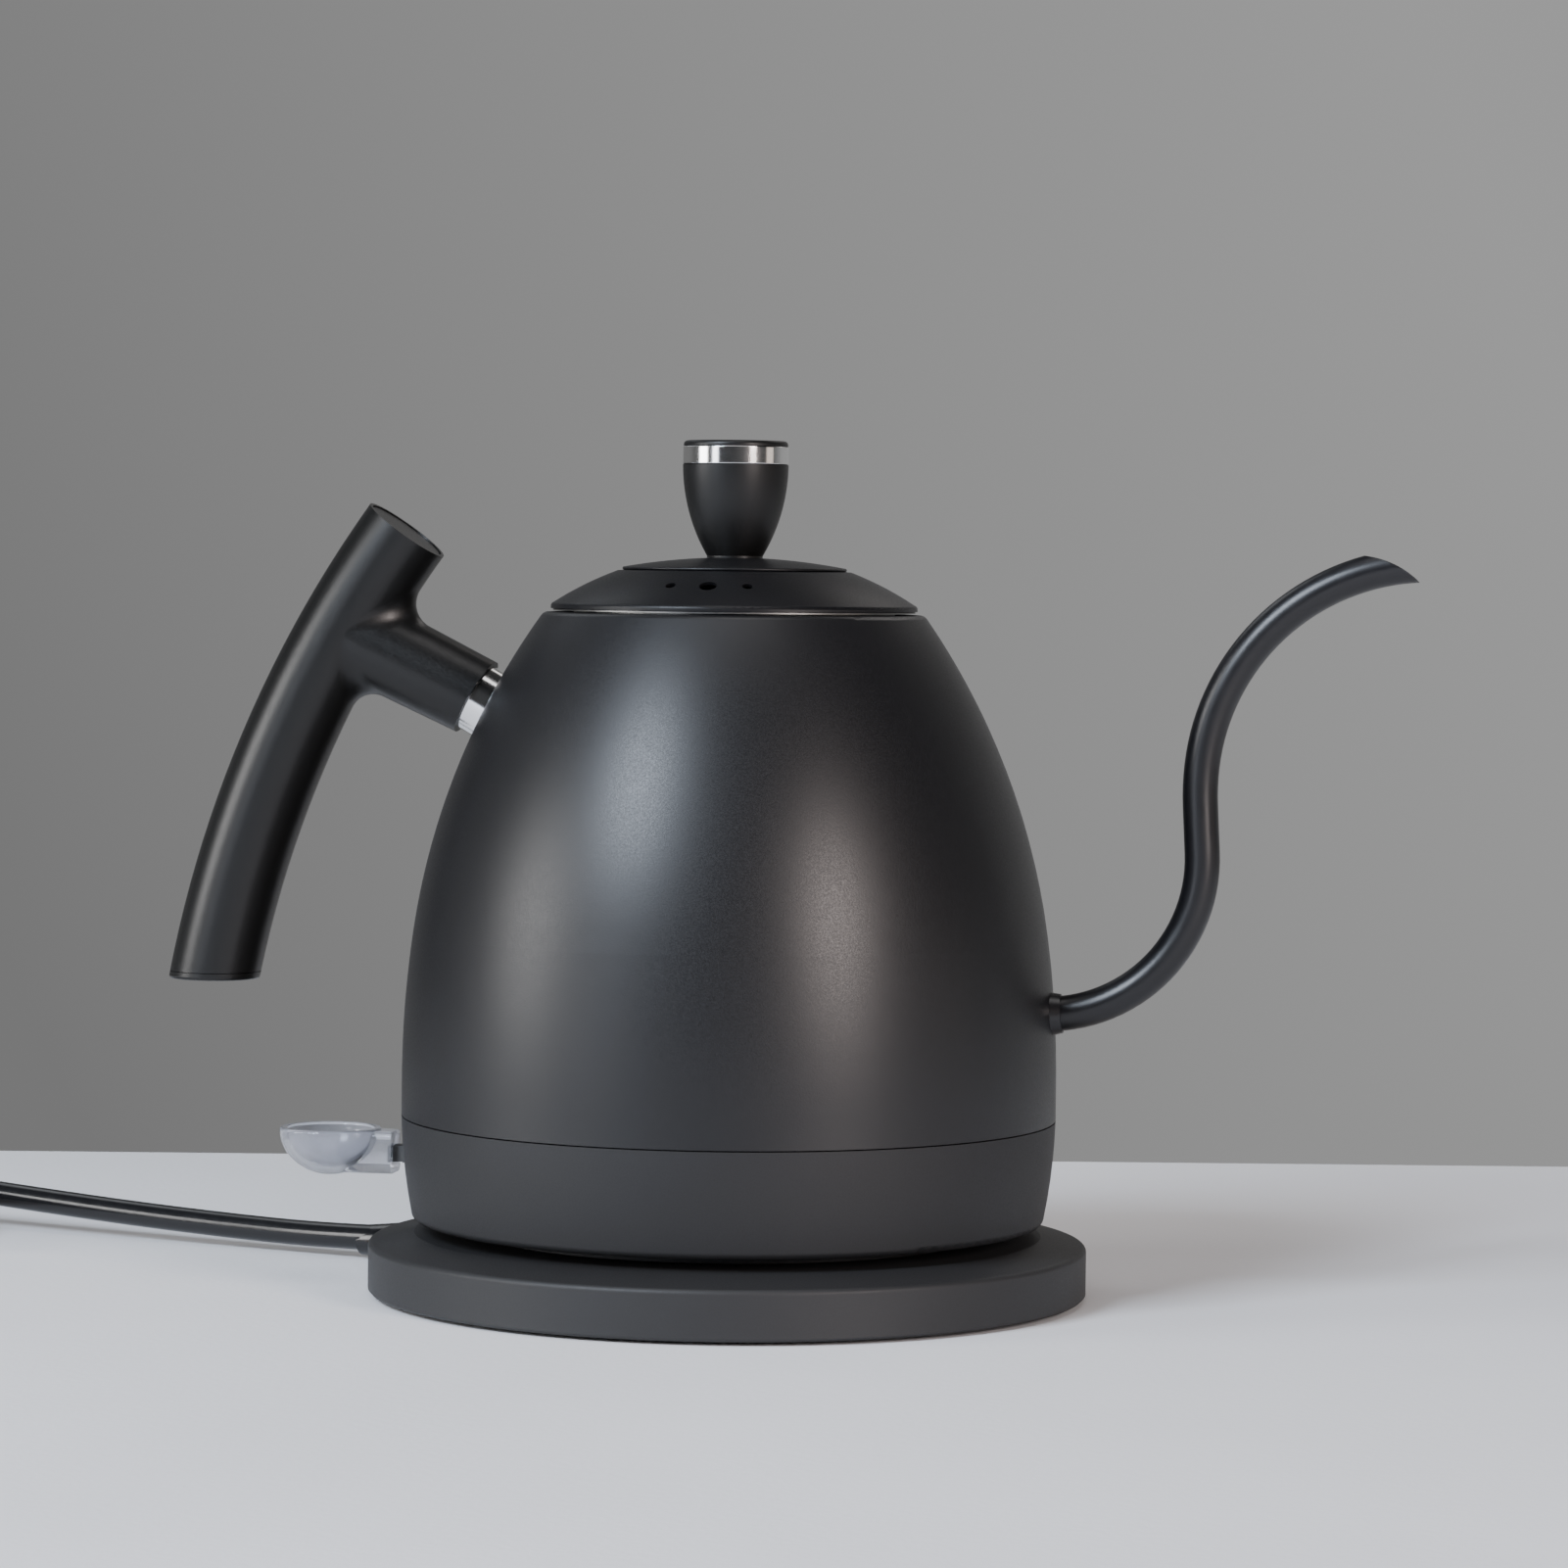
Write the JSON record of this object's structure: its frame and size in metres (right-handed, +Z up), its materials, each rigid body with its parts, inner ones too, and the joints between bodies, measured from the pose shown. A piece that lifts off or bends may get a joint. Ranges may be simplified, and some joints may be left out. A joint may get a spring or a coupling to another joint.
{
  "type": "gooseneck kettle",
  "caption": "Cordless electric gooseneck pour-over kettle with a lift-off lid, curved bar handle and thumb lever, on a round swivel power base with its mains lead.",
  "frame": {"origin": "on the table under the base's vertical axis, at the underside of the anti-slip ring", "axes": "+Z up along the base's and the kettle's common axis; +X towards the spout, so the handle is at -X; +Y completes the right-handed frame"},
  "size_m": [0.4348, 0.1681, 0.196],
  "materials": {
    "black_powder_coat": "fine textured satin",
    "black_spout_coat": "satin",
    "black_plastic": "matt",
    "grip_plastic": "matt",
    "inner_plastic": "matt",
    "clear_plastic": "clear, polished",
    "stainless": "brushed",
    "bright_trim": "polished",
    "aluminium_parts": "plain",
    "brass_contacts": "plain",
    "bimetal": "plain",
    "black_rubber": "matt",
    "grey_silicone": "satin",
    "cord_sheath": "glossy",
    "live_insulation": "glossy",
    "neutral_insulation": "glossy",
    "earth_insulation": "glossy"
  },
  "bodies": {
    "base": {"base_top_shell": "black_plastic", "base_bottom_plate": "black_plastic", "anti_slip_ring": "black_rubber", "base_screws": "stainless", "base_connector": "inner_plastic", "base_ring_contacts": "brass_contacts", "base_earth_pin": "brass_contacts", "shutter_spring": "stainless", "power_cord": "cord_sheath", "cord_tail": "cord_sheath", "cord_coil": "cord_sheath", "cord_tie": "cord_sheath", "cord_gland": "black_rubber", "cord_clamp": "inner_plastic", "clamp_screws": "stainless", "live_wire": "live_insulation", "neutral_wire": "neutral_insulation", "earth_wire": "earth_insulation", "plug_body": "cord_sheath", "plug_pins": "brass_contacts"},
    "shutter": {"connector_shutter": "inner_plastic"},
    "kettle": {"kettle_body": "black_powder_coat", "vessel_floor": "stainless", "heat_diffuser": "aluminium_parts", "heating_element": "aluminium_parts", "floor_standoffs": "stainless", "steam_tube": "stainless", "steam_tube_seal": "grey_silicone", "lower_collar": "black_plastic", "bottom_cover": "black_plastic", "cover_screws": "stainless", "kettle_socket": "inner_plastic", "socket_contacts": "brass_contacts", "dry_boil_bimetal": "bimetal", "control_unit": "inner_plastic", "steam_bimetal": "bimetal", "switch_pin": "stainless", "indicator_lamp": "clear_plastic", "spout_tube": "black_spout_coat", "spout_collar": "black_spout_coat", "handle_grip": "grip_plastic", "handle_core": "aluminium_parts", "handle_cap_lower": "grip_plastic", "handle_cap_upper": "grip_plastic", "handle_ferrule": "bright_trim", "handle_insert": "brass_contacts", "handle_screw": "stainless", "handle_washer": "stainless"},
    "lid": {"lid_shell": "black_powder_coat", "lid_cap_disc": "black_powder_coat", "lid_inner_plate": "stainless", "lid_seal": "grey_silicone", "knob_body": "grip_plastic", "knob_ring": "bright_trim", "knob_cap": "grip_plastic", "knob_washer": "stainless", "knob_screw": "stainless"},
    "switch": {"switch_lever": "clear_plastic", "switch_rocker": "inner_plastic"}
  },
  "joints": [
    {"name": "kettle_swivel", "type": "hinge", "parent": "base", "child": "shutter", "pos_m": [0, 0, 0.016], "axis": [0, 0, 1], "continuous": true},
    {"name": "kettle_lift", "type": "slide", "parent": "shutter", "child": "kettle", "axis": [0, 0, 1], "range_m": [0, 0.12]},
    {"name": "lid_lift", "type": "slide", "parent": "kettle", "child": "lid", "axis": [0, 0, 1], "range_m": [0, 0.06]},
    {"name": "switch_tilt", "type": "hinge", "parent": "kettle", "child": "switch", "pos_m": [-0.062, 0, 0.0265], "axis": [0, -1, 0], "range_deg": [0, 12]}
  ]
}
